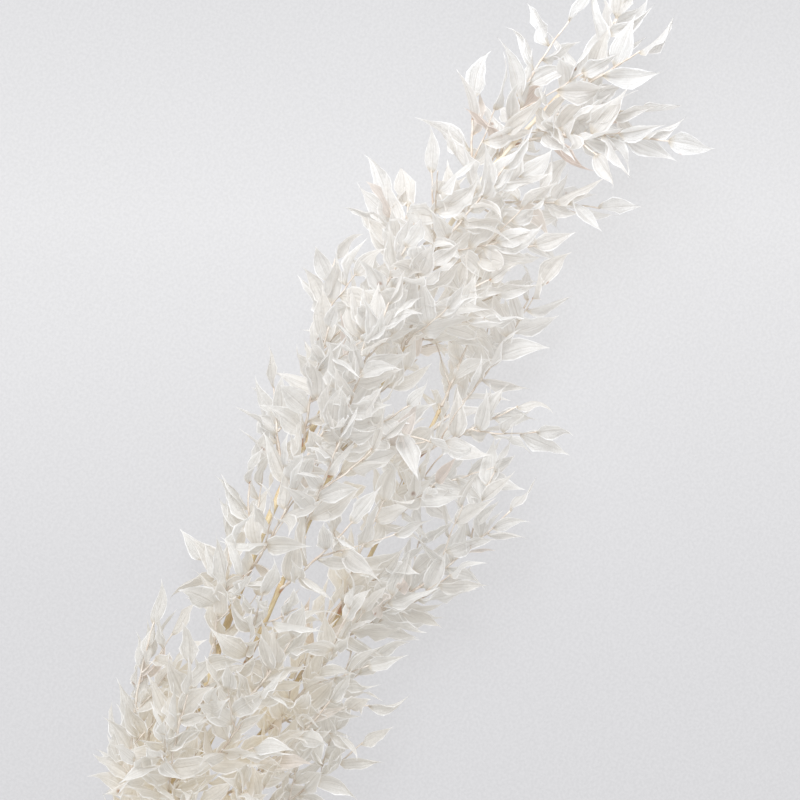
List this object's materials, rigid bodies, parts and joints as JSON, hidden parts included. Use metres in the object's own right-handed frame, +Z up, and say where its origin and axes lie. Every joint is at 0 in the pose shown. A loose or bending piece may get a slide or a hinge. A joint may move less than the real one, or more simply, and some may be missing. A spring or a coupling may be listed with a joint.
{
  "type": "dried ruscus stem",
  "caption": "Bleached dried ruscus stem, forked low into three golden canes, with white leafy sprays; it lies on a surface.",
  "frame": {"origin": "middle of the flat underside of the butt, where the stem touches the surface it lies on", "axes": "+X from the cut end towards the tip, +Y to the left seen from above, +Z up from the surface"},
  "size_m": [0.8097, 0.2072, 0.1225],
  "materials": {
    "cane_bark": "dry golden-tan bark, satin",
    "bleached_leaf": "papery bleached leaf, matt with a faint sheen"
  },
  "bodies": {
    "root": {"cane": "cane_bark", "spray_01": "bleached_leaf", "spray_02": "bleached_leaf", "spray_03": "bleached_leaf", "spray_04": "bleached_leaf", "spray_05": "bleached_leaf", "spray_06": "bleached_leaf", "spray_07": "bleached_leaf", "spray_08": "bleached_leaf", "spray_09": "bleached_leaf", "spray_10": "bleached_leaf", "spray_11": "bleached_leaf", "spray_12": "bleached_leaf", "spray_13": "bleached_leaf", "spray_14": "bleached_leaf", "spray_15": "bleached_leaf", "spray_16": "bleached_leaf", "spray_17": "bleached_leaf", "spray_18": "bleached_leaf", "spray_19": "bleached_leaf", "spray_20": "bleached_leaf", "spray_21": "bleached_leaf", "spray_22": "bleached_leaf", "spray_23": "bleached_leaf", "spray_24": "bleached_leaf", "spray_25": "bleached_leaf", "spray_26": "bleached_leaf", "spray_27": "bleached_leaf", "spray_28": "bleached_leaf", "spray_29": "bleached_leaf", "spray_30": "bleached_leaf", "spray_31": "bleached_leaf", "spray_32": "bleached_leaf", "spray_33": "bleached_leaf", "spray_34": "bleached_leaf", "spray_35": "bleached_leaf", "spray_36": "bleached_leaf", "spray_37": "bleached_leaf", "spray_38": "bleached_leaf", "spray_39": "bleached_leaf", "spray_40": "bleached_leaf", "spray_41": "bleached_leaf", "spray_42": "bleached_leaf", "spray_43": "bleached_leaf", "spray_44": "bleached_leaf", "spray_45": "bleached_leaf", "spray_46": "bleached_leaf", "spray_47": "bleached_leaf", "spray_48": "bleached_leaf", "spray_49": "bleached_leaf", "spray_50": "bleached_leaf", "spray_51": "bleached_leaf", "spray_52": "bleached_leaf", "spray_53": "bleached_leaf", "spray_54": "bleached_leaf", "spray_55": "bleached_leaf", "spray_56": "bleached_leaf", "spray_57": "bleached_leaf", "spray_58": "bleached_leaf", "spray_59": "bleached_leaf"}
  },
  "joints": []
}
